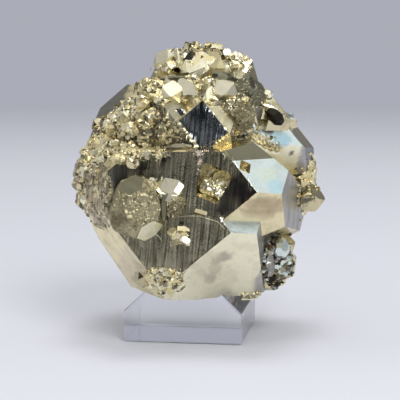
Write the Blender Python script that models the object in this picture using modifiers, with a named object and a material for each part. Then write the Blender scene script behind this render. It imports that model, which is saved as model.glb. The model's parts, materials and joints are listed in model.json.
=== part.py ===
"""Pyrite specimen on a clear bevelled acrylic block, for Blender 4.5.

Run with: blender --background --python part.py

The specimen is a parallel growth. Five large crystals and two growth steps share one lattice, and each
is a cube cut by octahedral faces at its own distances. Smaller crystals, crusts and a knob grow out of
them. One Boolean union makes the whole specimen a single solid. It rests on the flat top of the block,
and its lowest crystals hang a little below that, round the block's top.

Metres, +Z up. The origin is on the table, under the middle of the block. The large striated face looks
along -Y. Sizes in the tables below are in millimetres.
"""

import math
import random

import bmesh
import bpy
from mathutils import Euler, Matrix, Vector
from mathutils.bvhtree import BVHTree

MM = 0.001

# Driving dimensions of the block.
BLOCK_SIDE = 24.0
BLOCK_HEIGHT = 10.8
BEVEL_ACROSS = 4.8
BEVEL_DOWN = 4.6
BLOCK_TURN = -9.0
BLOCK_EDGE_ROUND = 0.25
REST_GAP = 0.3

# The specimen sits off-centre on the block: every place in the tables is moved by this.
SPECIMEN_PLACE = (-2.0, 0.0, 0.0)

# The lattice that the large crystals share: its middle, and how it is turned.
LATTICE_MIDDLE = (2.0, 0.5, 31.0)
LATTICE_YAW = -15.0
LATTICE_PITCH = -3.0
LATTICE_ROLL = -5.0

# Every large crystal starts as a cube of this half size, before its faces are cut.
ROUGH_HALF_SIZE = 40.0

# Faces are named by lattice direction: (right, front, up).
FRONT, BACK = (0, 1, 0), (0, -1, 0)
RIGHT, LEFT = (1, 0, 0), (-1, 0, 0)
TOP, BOTTOM = (0, 0, 1), (0, 0, -1)

# Distance of each face from the lattice's middle for the large crystals.
MIDDLE_CRYSTAL = {
    FRONT: 21.0,
    (1, 1, 1): 23.4,
    (1, 1, -1): 22.1,
    (-1, 1, -1): 22.2,
    (-1, 1, 1): 19.8,
    (-1, 1, 0): 23.0,
    (0.46, 0.5, 0.74): 21.2,
    (0.52, -0.19, 0.83): 13.8,
    (-0.1, 0.25, 1): 11.7,
    RIGHT: 22.4,
    LEFT: 21.4,
    (-1, 0.1, -0.45): 20.4,
    (-1, 0.1, -0.8): 20.9,
    (1, -1, -1): 21.6,
    (-1, -1, -1): 19.4,
    (1, -1, 1): 21.0,
    (-1, -1, 1): 22.3,
    BOTTOM: 19.0,
    BACK: 17.6,
    (1, 0.2, -1.6): 17.6,
}
LOWER_CRYSTAL = {
    FRONT: 21.3,
    (1, 1, -1): 24.6,
    (1, 1, 1): 16.5,
    (-1, 1, -1): 22.5,
    (-1, 0.1, -0.45): 20.2,
    (-1, 0.1, -0.8): 20.7,
    (-1, 1, 0): 22.6,
    TOP: -4.4,
    RIGHT: 18.4,
    LEFT: 19.0,
    BOTTOM: 21.8,
    BACK: 14.2,
    (1, -1, -1): 19.6,
    (-1, -1, -1): 18.6,
}
RIGHT_CRYSTAL = {
    FRONT: 16.0,
    (1, 1, 1): 18.4,
    (1, 1, -1): 6.7,
    TOP: 15.2,
    RIGHT: 22.7,
    LEFT: 4.0,
    (1, 0, 1): 23.0,
    (1, -1, 1): 25.6,
    BACK: 18.4,
    BOTTOM: 5.2,
    (1, -1, -1): 20.8,
}
LEFT_CRYSTAL = {
    FRONT: 17.6,
    (-1, 1, 1): 20.2,
    (1, 1, 1): 17.7,
    (-1, 1, 0): 22.4,
    TOP: 19.2,
    RIGHT: 6.0,
    LEFT: 21.8,
    (-1, 0, 1): 26.0,
    (-1, -1, 1): 20.8,
    (1, -1, 1): 15.0,
    BACK: 13.0,
    BOTTOM: 2.0,
    (-1, 1, -1): 9.0,
}
RIM_CRYSTAL = {
    (0.5, 1, 0.5): 15.2,
    (1, 1, 1): 21.2,
    (1, 0.2, 1): 24.6,
    (0, 0.6, 1): 21.0,
    TOP: 21.2,
    (-1, 1, 1): 12.0,
    LEFT: 0.0,
    RIGHT: 21.6,
    (1, -1, 1): 19.6,
    BACK: 16.2,
    BOTTOM: -14.8,
}
BACK_STEP = {
    BACK: 18.1,
    TOP: 6.0,
    BOTTOM: 11.0,
    RIGHT: 5.0,
    LEFT: 12.0,
    FRONT: 0.0,
    (1, -1, 1): 15.5,
    (-1, -1, -1): 17.8,
}
LEFT_STEP = {
    LEFT: 21.9,
    FRONT: 3.0,
    BACK: 9.0,
    TOP: 5.0,
    BOTTOM: 2.0,
    RIGHT: 0.0,
    (-1, 1, 1): 15.2,
    (-1, -1, -1): 17.0,
}

OTHER_LARGE_CRYSTALS = {
    "lower_crystal": LOWER_CRYSTAL,
    "right_crystal": RIGHT_CRYSTAL,
    "left_crystal": LEFT_CRYSTAL,
    "rim_crystal": RIM_CRYSTAL,
    "back_step": BACK_STEP,
    "left_step": LEFT_STEP,
}

# Small crystals: middle, half size, turn in degrees, and how far the octahedral faces cut in
# (1 leaves a plain cube, 0.67 meets halfway along its edges).
SMALL_CRYSTALS = (
    # the parallel crystal with the dark diamond face, above the middle of the front
    ((5.2, -11.1, 42.7), 6.0, None, 0.65),
    # row of bright crystals across the top of the front
    ((-6.4, -8.6, 50.0), 2.3, (20, 15, 38), 0.74),
    ((-1.6, -8.4, 50.0), 2.5, (34, -12, 52), 0.76),
    ((2.0, -8.0, 50.2), 2.6, (28, 20, 18), 0.72),
    ((6.6, -9.0, 49.4), 3.0, (30, 12, 40), 0.78),
    ((9.6, -8.0, 49.6), 2.7, (24, -22, 25), 0.76),
    # crystal with the rounded end, right of the row
    ((11.0, -9.6, 45.6), 4.0, (12, 30, 20), 0.67),
    # embedded in the striated face
    ((-7.6, -16.0, 27.6), 5.0, (4, 20, 24), 0.66),
    ((-2.2, -18.0, 30.2), 2.9, (35, -18, 30), 0.74),
    ((0.2, -19.6, 22.8), 1.9, (30, 40, 15), 0.75),
    # smooth brown crystal on the rim at the upper right
    ((18.0, -3.4, 43.8), 2.8, (18, 8, 35), 0.78),
    # knob on top
    ((3.9, 3.6, 52.2), 5.9, (14, 10, 32), 0.72),
    ((-2.4, 2.6, 53.0), 3.6, (32, 24, 12), 0.74),
    ((10.0, 4.4, 52.2), 4.6, (40, -16, 20), 0.72),
    ((5.6, 7.4, 54.0), 4.4, (12, -34, 44), 0.72),
    ((-0.6, 7.4, 52.8), 3.8, (50, 20, 8), 0.74),
    # bump at the right edge, and the two small balls above it
    ((26.6, -1.0, 28.0), 2.1, (30, 42, 10), 0.74),
    ((25.2, 0.4, 29.6), 2.0, (12, 20, 30), 0.76),
    ((22.4, 1.0, 43.6), 1.2, (20, 30, 40), 0.68),
    ((17.6, 0.4, 49.0), 0.9, (40, 10, 20), 0.74),
    # group at the lower right
    ((17.8, -7.4, 17.8), 3.0, (20, 34, 15), 0.70),
    ((19.8, -5.0, 15.0), 2.8, (42, 12, 38), 0.70),
    ((17.4, -6.4, 12.8), 2.5, (15, -30, 25), 0.69),
    ((20.2, -2.0, 18.0), 2.4, (33, 21, 11), 0.72),
    ((18.6, -1.6, 12.6), 2.6, (10, 45, 30), 0.70),
    # bumps along the left edge
    ((-19.4, -7.0, 34.4), 1.9, (30, 20, 12), 0.74),
    ((-20.0, -5.0, 31.2), 1.7, (12, 40, 30), 0.72),
    ((-19.6, -6.0, 28.4), 1.5, (45, 10, 20), 0.74),
    # crust at the lower left
    ((-4.6, -15.6, 13.4), 1.8, (20, 30, 40), 0.74),
    ((-7.4, -14.2, 14.0), 1.6, (35, 12, 22), 0.72),
    ((-2.0, -15.8, 12.0), 1.5, (10, 38, 15), 0.75),
)

# Zones of crust, made of seeded crystals. Each is dropped on to the specimen along a direction:
# that direction, the middle of the zone, how far it spreads, the count and the half sizes.
CRUST_ZONES = (
    ((0, 1, 0), (-7.5, -40.0, 44.5), (4.0, 0.0, 4.0), 22, (0.7, 1.5)),
    ((0, 1, 0), (-13.5, -40.0, 40.5), (4.5, 0.0, 3.5), 20, (0.7, 1.4)),
    ((0, 1, 0), (-17.5, -40.0, 36.5), (3.0, 0.0, 4.0), 10, (0.6, 1.2)),
    ((0, 0, -1), (4.0, 3.0, 80.0), (8.0, 6.0, 0.0), 14, (0.7, 1.3)),
    ((0, 1, 0), (4.0, -40.0, 48.6), (9.0, 0.0, 1.4), 6, (0.7, 1.2)),
    ((0, -1, 0), (1.0, 40.0, 34.0), (13.0, 0.0, 12.0), 9, (1.4, 3.2)),
)
CRUST_SEED = 26
CRUST_SINK = 0.35

# Pits in the faces: middle, half size, turn. They are negatives of crystals that came away.
PITS = (
    ((6.6, -20.6, 33.2), 3.2, (20, 10, 30)),
    ((12.2, -22.2, 36.2), 1.1, (35, 20, 12)),
)
PIT_CUT = 0.72

# The specimen's underside is flat at this height, over this reach sideways and front to back.
UNDERSIDE_HEIGHT = 9.5
UNDERSIDE_REACH = (10.0, 15.0)
UNDERSIDE_DEPTH = 9.0


def clear_scene():
    for old in list(bpy.data.objects):
        bpy.data.objects.remove(old, do_unlink=True)


def new_collection(name):
    made = bpy.data.collections.new(name)
    bpy.context.scene.collection.children.link(made)
    return made


def placed(place):
    """A place from the tables, over the block."""
    return Vector(place) + Vector(SPECIMEN_PLACE)


def lattice_turn():
    """The turn from lattice directions (right, front, up) to the model's axes."""
    upright = Matrix(((1, 0, 0), (0, -1, 0), (0, 0, 1)))
    rolled = Matrix.Rotation(math.radians(LATTICE_ROLL), 3, Vector((0, -1, 0)))
    pitched = Matrix.Rotation(math.radians(LATTICE_PITCH), 3, "X")
    yawed = Matrix.Rotation(math.radians(LATTICE_YAW), 3, "Z")
    return yawed @ pitched @ rolled @ upright


def cut_cube(half_size, faces):
    """A bmesh cube of that half size, cut back to the plane of each face in turn."""
    bm = bmesh.new()
    bmesh.ops.create_cube(bm, size=2 * half_size)
    for normal, distance in faces:
        cut = bmesh.ops.bisect_plane(
            bm,
            geom=bm.verts[:] + bm.edges[:] + bm.faces[:],
            plane_co=normal * distance,
            plane_no=normal,
            clear_outer=True,
        )
        rim = [part for part in cut["geom_cut"] if isinstance(part, bmesh.types.BMEdge)]
        if rim:
            bmesh.ops.edgeloop_fill(bm, edges=rim)
    bmesh.ops.recalc_face_normals(bm, faces=bm.faces[:])
    return bm


def mesh_object(name, bm, home):
    mesh = bpy.data.meshes.new(name)
    bm.to_mesh(mesh)
    bm.free()
    made = bpy.data.objects.new(name, mesh)
    home.objects.link(made)
    return made


def large_crystal(name, face_distances, home):
    """A crystal on the shared lattice, from its face distances."""
    turn = lattice_turn()
    faces = [
        ((turn @ Vector(direction)).normalized(), distance * MM)
        for direction, distance in face_distances.items()
    ]
    bm = cut_cube(ROUGH_HALF_SIZE * MM, faces)
    bmesh.ops.translate(bm, verts=bm.verts[:], vec=placed(LATTICE_MIDDLE) * MM)
    return mesh_object(name, bm, home)


def small_crystal(name, middle, half_size, turn, cut, home):
    """A cube of that half size with its corners cut. No turn means the shared lattice."""
    corners = [Vector((x, y, z)).normalized() for x in (-1, 1) for y in (-1, 1) for z in (-1, 1)]
    corner_distance = half_size * MM * cut * math.sqrt(3)
    bm = cut_cube(half_size * MM, [(corner, corner_distance) for corner in corners])
    if turn is None:
        turned = lattice_turn()
    else:
        turned = Euler([math.radians(angle) for angle in turn]).to_matrix()
    bmesh.ops.rotate(bm, verts=bm.verts[:], matrix=turned)
    bmesh.ops.translate(bm, verts=bm.verts[:], vec=placed(middle) * MM)
    bmesh.ops.recalc_face_normals(bm, faces=bm.faces[:])
    return mesh_object(name, bm, home)


def box(name, low, high, home):
    bm = bmesh.new()
    bmesh.ops.create_cube(bm, size=1)
    bmesh.ops.scale(bm, verts=bm.verts[:], vec=(Vector(high) - Vector(low)) * MM)
    bmesh.ops.translate(bm, verts=bm.verts[:], vec=(Vector(high) + Vector(low)) * MM / 2)
    return mesh_object(name, bm, home)


def surface_of(solids):
    """All those solids as one search tree, in millimetres."""
    corners, faces = [], []
    for solid in solids:
        first = len(corners)
        corners += [vertex.co / MM for vertex in solid.data.vertices]
        faces += [[first + corner for corner in face.vertices] for face in solid.data.polygons]
    return BVHTree.FromPolygons(corners, faces)


def boolean(target, operation, operands, name):
    modifier = target.modifiers.new(name, "BOOLEAN")
    modifier.operation = operation
    modifier.operand_type = "COLLECTION"
    modifier.collection = operands
    modifier.solver = "EXACT"


def paint(target, name, colour, roughness, metallic, alpha=1.0):
    material = bpy.data.materials.new(name)
    material.use_nodes = True
    shader = material.node_tree.nodes["Principled BSDF"]
    shader.inputs["Base Color"].default_value = (*colour, 1)
    shader.inputs["Roughness"].default_value = roughness
    shader.inputs["Metallic"].default_value = metallic
    shader.inputs["Alpha"].default_value = alpha
    material.diffuse_color = (*colour, alpha)
    target.data.materials.append(material)


def add_crust(surface, home):
    """Small crystals in each crust zone, sunk a little into the face that they land on."""
    chance = random.Random(CRUST_SEED)
    for zone, (direction, middle, spread, count, sizes) in enumerate(CRUST_ZONES):
        for index in range(count):
            start = Vector(m + s * chance.uniform(-1, 1) for m, s in zip(middle, spread))
            turn = [chance.uniform(0, 90) for _ in range(3)]
            half_size = chance.uniform(*sizes)
            cut = chance.uniform(0.68, 0.8)
            landed, normal, _, _ = surface.ray_cast(placed(start), Vector(direction))
            if landed is None:
                continue
            middle_at = landed - normal * CRUST_SINK * half_size - Vector(SPECIMEN_PLACE)
            small_crystal(f"crust_{zone}_{index}", middle_at, half_size, turn, cut, home)


def block_shape(name, grow, home):
    """The block: square, with its upper side edges bevelled. Every face stands out by grow."""
    half = BLOCK_SIDE / 2
    middle = BLOCK_HEIGHT / 2
    faces = [(Vector((0, 0, side)), middle + grow) for side in (1, -1)]
    for side in (1, -1):
        normal = Vector((side * BEVEL_DOWN, 0, BEVEL_ACROSS)).normalized()
        edge = Vector((side * half, 0, middle - BEVEL_DOWN))
        faces.append((normal, normal.dot(edge) + grow))
    bm = cut_cube((half + grow) * MM, [(normal, distance * MM) for normal, distance in faces])
    bmesh.ops.rotate(bm, verts=bm.verts[:], matrix=Matrix.Rotation(math.radians(BLOCK_TURN), 3, "Z"))
    bmesh.ops.translate(bm, verts=bm.verts[:], vec=(0, 0, middle * MM))
    return mesh_object(name, bm, home)


def build_cluster(home, growths, cutters, hollows):
    cluster = large_crystal("pyrite_cluster", MIDDLE_CRYSTAL, home)
    for name, face_distances in OTHER_LARGE_CRYSTALS.items():
        large_crystal(name, face_distances, growths)
    for index, (middle, half_size, turn, cut) in enumerate(SMALL_CRYSTALS):
        small_crystal(f"small_crystal_{index}", middle, half_size, turn, cut, growths)
    add_crust(surface_of(growths.objects[:] + [cluster]), growths)
    boolean(cluster, "UNION", growths, "join growths")
    for index, (middle, half_size, turn) in enumerate(PITS):
        small_crystal(f"pit_{index}", middle, half_size, turn, PIT_CUT, cutters)
    across, deep = UNDERSIDE_REACH
    bottom = UNDERSIDE_HEIGHT
    box("underside", (-across, -deep, bottom - UNDERSIDE_DEPTH), (across, deep, bottom), cutters)
    boolean(cluster, "DIFFERENCE", cutters, "pits and underside")
    block_shape("seat", REST_GAP, hollows)
    boolean(cluster, "DIFFERENCE", hollows, "seat over the block")
    paint(cluster, "pyrite", (0.45, 0.40, 0.26), 0.3, 1.0)


def build_stand(home):
    stand = block_shape("acrylic_stand", 0.0, home)
    rounding = stand.modifiers.new("rounded edges", "BEVEL")
    rounding.width = BLOCK_EDGE_ROUND * MM
    rounding.segments = 2
    rounding.limit_method = "NONE"
    paint(stand, "clear_acrylic", (0.86, 0.88, 0.92), 0.06, 0.0, 0.35)
    return stand


def main():
    clear_scene()
    specimen = new_collection("pyrite_specimen")
    growths = new_collection("growths")
    cutters = new_collection("cutters")
    hollows = new_collection("hollows")
    build_cluster(specimen, growths, cutters, hollows)
    build_stand(specimen)
    for operand in list(growths.objects) + list(cutters.objects) + list(hollows.objects):
        operand.hide_render = True
        operand.display_type = "WIRE"


main()
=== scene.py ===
import json
import math
import random
from bisect import bisect_right

import bmesh
import bpy
from mathutils import Matrix, Vector, noise
from mathutils.bvhtree import BVHTree

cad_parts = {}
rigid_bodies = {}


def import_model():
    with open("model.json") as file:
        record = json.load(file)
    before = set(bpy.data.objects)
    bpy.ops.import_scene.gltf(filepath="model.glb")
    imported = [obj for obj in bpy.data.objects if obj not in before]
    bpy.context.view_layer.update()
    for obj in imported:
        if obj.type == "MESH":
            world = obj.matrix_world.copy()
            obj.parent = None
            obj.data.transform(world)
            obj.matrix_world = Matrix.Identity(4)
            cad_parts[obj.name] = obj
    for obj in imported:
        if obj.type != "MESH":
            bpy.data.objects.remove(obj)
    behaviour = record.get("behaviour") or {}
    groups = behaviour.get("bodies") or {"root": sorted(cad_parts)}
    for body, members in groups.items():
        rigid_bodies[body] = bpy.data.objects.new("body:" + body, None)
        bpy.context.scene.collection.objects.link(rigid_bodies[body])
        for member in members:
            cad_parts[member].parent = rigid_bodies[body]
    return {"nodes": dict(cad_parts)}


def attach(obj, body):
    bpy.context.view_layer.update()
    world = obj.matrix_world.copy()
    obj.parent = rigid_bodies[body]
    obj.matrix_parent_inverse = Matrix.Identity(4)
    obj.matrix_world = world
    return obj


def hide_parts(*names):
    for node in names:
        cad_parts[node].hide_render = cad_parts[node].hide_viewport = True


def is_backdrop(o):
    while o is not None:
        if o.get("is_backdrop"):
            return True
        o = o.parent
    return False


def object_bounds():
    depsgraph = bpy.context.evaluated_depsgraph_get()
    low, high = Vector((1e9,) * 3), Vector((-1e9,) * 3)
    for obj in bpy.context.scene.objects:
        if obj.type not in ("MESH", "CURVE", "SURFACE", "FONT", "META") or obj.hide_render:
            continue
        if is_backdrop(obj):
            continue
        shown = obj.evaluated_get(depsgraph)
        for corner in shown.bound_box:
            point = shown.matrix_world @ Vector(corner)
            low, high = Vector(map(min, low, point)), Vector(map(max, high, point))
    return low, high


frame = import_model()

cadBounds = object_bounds()
mm = 0.001

# The growth lattice that the large crystals share. Its columns are right, front and up.
lattice = {
    "middle": Vector((0.0, 0.5, 31.0)) * mm,
    "yaw": -15.0,
    "pitch": -3.0,
    "roll": -5.0,
}


def latticeAxes():
    upright = Matrix(((1, 0, 0), (0, -1, 0), (0, 0, 1)))
    rolled = Matrix.Rotation(math.radians(lattice["roll"]), 3, Vector((0, -1, 0)))
    pitched = Matrix.Rotation(math.radians(lattice["pitch"]), 3, "X")
    yawed = Matrix.Rotation(math.radians(lattice["yaw"]), 3, "Z")
    return yawed @ pitched @ rolled @ upright


axes = latticeAxes()
axisRight, axisUp = axes.col[0].copy(), axes.col[2].copy()


def newObject(name, bm):
    mesh = bpy.data.meshes.new(name)
    bm.to_mesh(mesh)
    bm.free()
    made = bpy.data.objects.new(name, mesh)
    bpy.context.scene.collection.objects.link(made)
    return made


class Flow:
    # one socket of a node tree; sums on it add Math nodes
    def __init__(self, tree, socket):
        self.tree = tree
        self.socket = socket

    def sum(self, operation, first, second):
        step = self.tree.nodes.new("ShaderNodeMath")
        step.operation = operation
        for place, value in enumerate((first, second)):
            if isinstance(value, Flow):
                self.tree.links.new(value.socket, step.inputs[place])
            else:
                step.inputs[place].default_value = value
        return Flow(self.tree, step.outputs[0])

    def __add__(self, other):
        return self.sum("ADD", self, other)

    def __radd__(self, other):
        return self.sum("ADD", other, self)

    def __sub__(self, other):
        return self.sum("SUBTRACT", self, other)

    def __rsub__(self, other):
        return self.sum("SUBTRACT", other, self)

    def __mul__(self, other):
        return self.sum("MULTIPLY", self, other)

    def __rmul__(self, other):
        return self.sum("MULTIPLY", other, self)


class Paint:
    # a material or world, with one method for any node
    def __init__(self, owner):
        owner.use_nodes = True
        self.owner = owner
        self.tree = owner.node_tree
        self.tree.nodes.clear()

    def node(self, kind, settings=None, sockets=None, out=0):
        made = self.tree.nodes.new(kind)
        for name, value in (settings or {}).items():
            setattr(made, name, value)
        for name, value in (sockets or {}).items():
            if isinstance(value, Flow):
                self.tree.links.new(value.socket, made.inputs[name])
            else:
                made.inputs[name].default_value = value
        return Flow(self.tree, made.outputs[out])

    def noise(self, vector, scale, detail, roughness=0.55):
        return self.node("ShaderNodeTexNoise", None, {
            "Vector": vector, "Scale": scale, "Detail": detail, "Roughness": roughness}, "Fac")

    def ease(self, value, low, high, toLow=0.0, toHigh=1.0):
        return self.node("ShaderNodeMapRange", {"interpolation_type": "SMOOTHSTEP"}, {
            "Value": value, "From Min": low, "From Max": high, "To Min": toLow, "To Max": toHigh})

    def blend(self, share, first, second, mode="MIX"):
        return self.node("ShaderNodeMix", {"data_type": "RGBA", "blend_type": mode}, {
            0: share, 6: first, 7: second}, 2)

    def finish(self, shader):
        end = self.tree.nodes.new("ShaderNodeOutputMaterial")
        self.tree.links.new(shader.socket, end.inputs["Surface"])
        return self.owner


# The camera comes first, because small details are placed by where they are seen.
cameraPlace = {
    "target": Vector((1.7, 0.0, 27.6)) * mm,
    "distance": 250 * mm,
    "elevation": 6.0,
    "lens": 108.1,
    "sensor": 36.0,
    "frameWidth": 400,
}


def placeCamera():
    camera = bpy.data.cameras.new("camera")
    holder = bpy.data.objects.new("camera", camera)
    bpy.context.scene.collection.objects.link(holder)
    camera.sensor_width = cameraPlace["sensor"]
    camera.lens = cameraPlace["lens"]
    camera.clip_start = 0.01
    camera.clip_end = 20.0
    rise = math.radians(cameraPlace["elevation"])
    back = Vector((0, -math.cos(rise), math.sin(rise)))
    holder.location = cameraPlace["target"] + back * cameraPlace["distance"]
    holder.rotation_euler = (-back).to_track_quat("-Z", "Y").to_euler()
    bpy.context.scene.camera = holder
    bpy.context.view_layer.update()
    return holder


cameraHolder = placeCamera()


def seenAt(tree, across, down):
    # where the line of sight through a point of the 400-wide frame meets the surface
    middle = cameraPlace["frameWidth"] / 2
    sharpness = cameraPlace["lens"] / cameraPlace["sensor"] * cameraPlace["frameWidth"]
    sight = cameraHolder.matrix_world.to_3x3() @ Vector((across - middle, middle - down, -sharpness))
    landed, normal, _, _ = tree.ray_cast(cameraHolder.location, sight.normalized())
    return landed, normal


# Each finish: metal colour, roughness, how much dark tarnish it carries, how striated it is.
# Many colours here are painted light. Cream, tan, icy and bright are lightened, and icy is tinted cool, to
# copy the bright floor, the cool light and the glints that these facets reflect. Striated, diamond, moss and
# black are darkened to copy the dark room and the shade that they reflect; for striated this is partly real
# tarnish.
finishesAndPaintedLight = {
    "crystal": {"colour": (0.70, 0.62, 0.40), "polish": 0.26, "tarnish": 0.35, "streaks": 0.0},
    "striated": {"colour": (0.50, 0.47, 0.32), "polish": 0.22, "tarnish": 0.60, "streaks": 1.0},
    "diamond": {"colour": (0.40, 0.44, 0.46), "polish": 0.22, "tarnish": 0.45, "streaks": 1.0},
    "cream": {"colour": (1.0, 0.95, 0.71), "polish": 0.32, "tarnish": 0.22, "streaks": 0.0},
    "tan": {"colour": (0.88, 0.78, 0.50), "polish": 0.34, "tarnish": 0.34, "streaks": 0.0},
    # painted reflection: the bluish white of a cool light
    "icy": {"colour": (0.78, 0.85, 0.80), "polish": 0.28, "tarnish": 0.20, "streaks": 0.0},
    "grey": {"colour": (0.42, 0.40, 0.37), "polish": 0.34, "tarnish": 0.22, "streaks": 0.3},
    "bark": {"colour": (0.62, 0.53, 0.38), "polish": 0.36, "tarnish": 0.75, "streaks": 0.5},
    "olive": {"colour": (0.44, 0.40, 0.27), "polish": 0.30, "tarnish": 0.55, "streaks": 0.0},
    "moss": {"colour": (0.22, 0.21, 0.14), "polish": 0.34, "tarnish": 0.55, "streaks": 0.0},
    "gold": {"colour": (0.86, 0.76, 0.44), "polish": 0.36, "tarnish": 0.30, "streaks": 0.0},
    # painted highlight: a glint colour, brighter than the pyrite's own
    "bright": {"colour": (0.94, 0.90, 0.68), "polish": 0.34, "tarnish": 0.08, "streaks": 0.0},
    "pitted": {"colour": (0.40, 0.355, 0.22), "polish": 0.44, "tarnish": 0.90, "streaks": 0.0},
    "brown": {"colour": (0.20, 0.155, 0.09), "polish": 0.28, "tarnish": 0.3, "streaks": 0.0},
    # painted dark reflection: near black
    "black": {"colour": (0.03, 0.026, 0.02), "polish": 0.36, "tarnish": 0.1, "streaks": 0.0},
}
finishAndLightNames = list(finishesAndPaintedLight)

# Which finish a lattice face has, and with it the painted reflection or shade for the way the face turns: its
# direction (right, front, up), the distance range in mm, the finish.
latticeFinishesAndLight = [
    ((0, 1, 0), (20.5, 22.0), "striated"),
    ((0, 1, 0), (17.2, 17.9), "striated"),
    ((0, 1, 0), (15.0, 17.19), "diamond"),
    ((1, 1, -1), (24.0, 25.0), "cream"),
    ((1, 1, -1), (21.8, 22.4), "tan"),
    ((1, 1, -1), (6.0, 7.5), "cream"),
    ((1, 1, 1), (23.0, 23.8), "icy"),
    ((1, 1, 1), (18.0, 18.8), "icy"),
    ((1, 1, 1), (16.0, 17.0), "icy"),
    ((1, 1, 1), (17.4, 17.95), "olive"),
    ((1, 0, 0), (10.5, 11.5), "olive"),
    ((1, 1, 1), (20.8, 21.6), "moss"),
    ((0.5, 1, 0.5), (14.5, 16.0), "moss"),
    ((0.46, 0.5, 0.74), (20.5, 22.0), "moss"),
    ((1, 0, 0), (14.0, 26.0), "grey"),
    ((-1, 0, 0), (14.0, 26.0), "grey"),
    ((-1, 1, 0), (20.0, 24.0), "bark"),
    ((-1, 1, -1), (20.0, 24.0), "tan"),
    ((-1, 1, 1), (18.0, 21.0), "gold"),
    ((0, -1, 0), (13.0, 20.0), "striated"),
    ((0, 0, 1), (10.0, 24.0), "olive"),
]

bodyShape = {
    "mergeGap": 1e-7,
    "flatAngle": 0.3,
    "longest": 1.15 * mm,
    "rounds": 6,
    "relief": 0.018 * mm,
    "reliefScale": 620.0,
    "sharpAngle": 12.0,
    "sameDirection": 0.9996,
}

striae = {
    "terrace": (0.08 * mm, 0.30 * mm),
    "riser": (0.03 * mm, 0.07 * mm),
    "slope": 0.5,  # the riser's rise over its width
    "deepest": 0.10 * mm,
    "rowSpacing": 2.0 * mm,
    "rowChange": (0.6, 1.4),
    "strength": (0.8, 0.7),  # the usual share of the depth, and how far it changes
    "patch": (0.9 * mm, 5 * mm),
    "reach": 27 * mm,
    "seed": 11,
}

# Areas covered with intergrown small crystals: where each is seen, its reach in mm, its turn in
# degrees, the usual width of a crystal in mm, how far they stand out, the finishes they take turns in.
goldMix = ("gold", "gold", "cream", "tan", "olive", "cream", "gold", "moss")
knobMix = ("gold", "cream", "gold", "cream", "tan", "olive")
darkMix = ("olive", "grey", "moss", "brown", "icy", "black")
barkMix = ("bark", "olive", "bark", "moss", "tan", "bark")
grownAreas = [
    ((125, 122), (8.0, 4.9), 42, 1.15, 0.75, goldMix),
    ((143, 96), (5.6, 3.2), 10, 1.0, 0.8, goldMix),
    ((152, 122), (3.0, 4.8), 0, 0.55, 0.5, ("olive", "moss", "gold", "brown")),
    ((133, 150), (6.2, 1.8), -8, 0.60, 0.8, goldMix),
    ((99, 151), (4.4, 3.8), 0, 0.95, 0.7, goldMix),
    ((84, 185), (3.2, 7.0), 0, 0.80, 0.6, barkMix),
    ((98, 195), (3.0, 7.5), 0, 0.70, 0.25, barkMix),
    ((162, 284), (4.2, 3.2), 0, 0.65, 0.7, goldMix),
    ((200, 56), (10.5, 5.0), 0, 1.7, 0.8, knobMix),
    ((158, 62), (3.0, 4.0), 0, 1.5, 0.8, knobMix),
    ((215, 92), (10.5, 2.6), -6, 1.0, 0.8, ("gold", "olive", "cream", "moss", "gold")),
    ((245, 88), (2.6, 3.4), 30, 1.1, 0.6, ("moss", "olive", "brown")),
    ((243, 131), (3.2, 1.6), 20, 0.42, 0.7, ("icy", "tan", "olive", "brown")),
    ((262, 141), (4.6, 1.0), -30, 0.40, 0.7, ("olive", "tan", "gold")),
    ((278, 262), (3.6, 5.6), 0, 0.90, 0.8, darkMix),
    ((217, 181), (2.7, 2.9), 0, 0.75, 0.9, ("gold", "gold", "cream", "bright", "tan")),
    ((170, 136), (2.6, 2.4), 0, 0.65, 0.6, ("olive", "moss", "gold", "brown")),
    ((250, 296), (3.0, 0.7), 0, 0.45, 0.6, goldMix),
    ((304, 196), (1.8, 1.8), 0, 0.7, 0.6, ("moss", "olive", "gold")),
]
# The same on the faces turned away: a start and a direction for the place, reach, turn, width, height.
hiddenAreas = [
    ((0, 60, 38), (0, -1, 0), (11.0, 8.0), 25, 1.7, 0.8),
    ((-10, 60, 22), (0, -1, 0), (6.0, 5.0), 0, 1.3, 0.8),
    ((14, 60, 26), (0, -1, 0), (5.0, 7.0), 10, 1.5, 0.8),
    ((0, 14, 90), (0, 0, -1), (8.0, 6.0), 0, 1.5, 0.8),
    ((60, 6, 30), (-1, 0, 0), (6.0, 6.0), 30, 1.4, 0.8),
    ((-60, 6, 32), (1, 0, 0), (6.0, 7.0), 0, 1.4, 0.8),
    ((0, 0, 0), (0.1, 0.9, 1.0), (7.0, 6.0), 0, 1.4, 0.8),
]
grownShape = {
    "fineness": 0.20,  # the mesh's edges over a crystal's width
    "size": (0.40, 0.86),
    "cut": 0.80,
    "sunk": 0.30,
    "under": 0.30 * mm,
    "border": 0.35 * mm,
    "margin": 1.35,
    "far": 60 * mm,
    "tear": 3.0,
    "aligned": 0.75,  # the share of crystals that follow the lattice
    "lean": (0.5, 0.6),  # and how far they lean from it, in radians
    "tallest": 0.9,
    "dull": 0.12,  # added to a finish's roughness
    # painted shade: the tone left at the bottom of the hollows between crystals
    "hollowPaintedShade": 0.30,
    "shadeFreeHeight": 0.4,  # the height, over the width, from which a crystal is free of painted shade
    "lots": (71.3, 53.9),  # scale the seeds of the random draws
}
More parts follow.
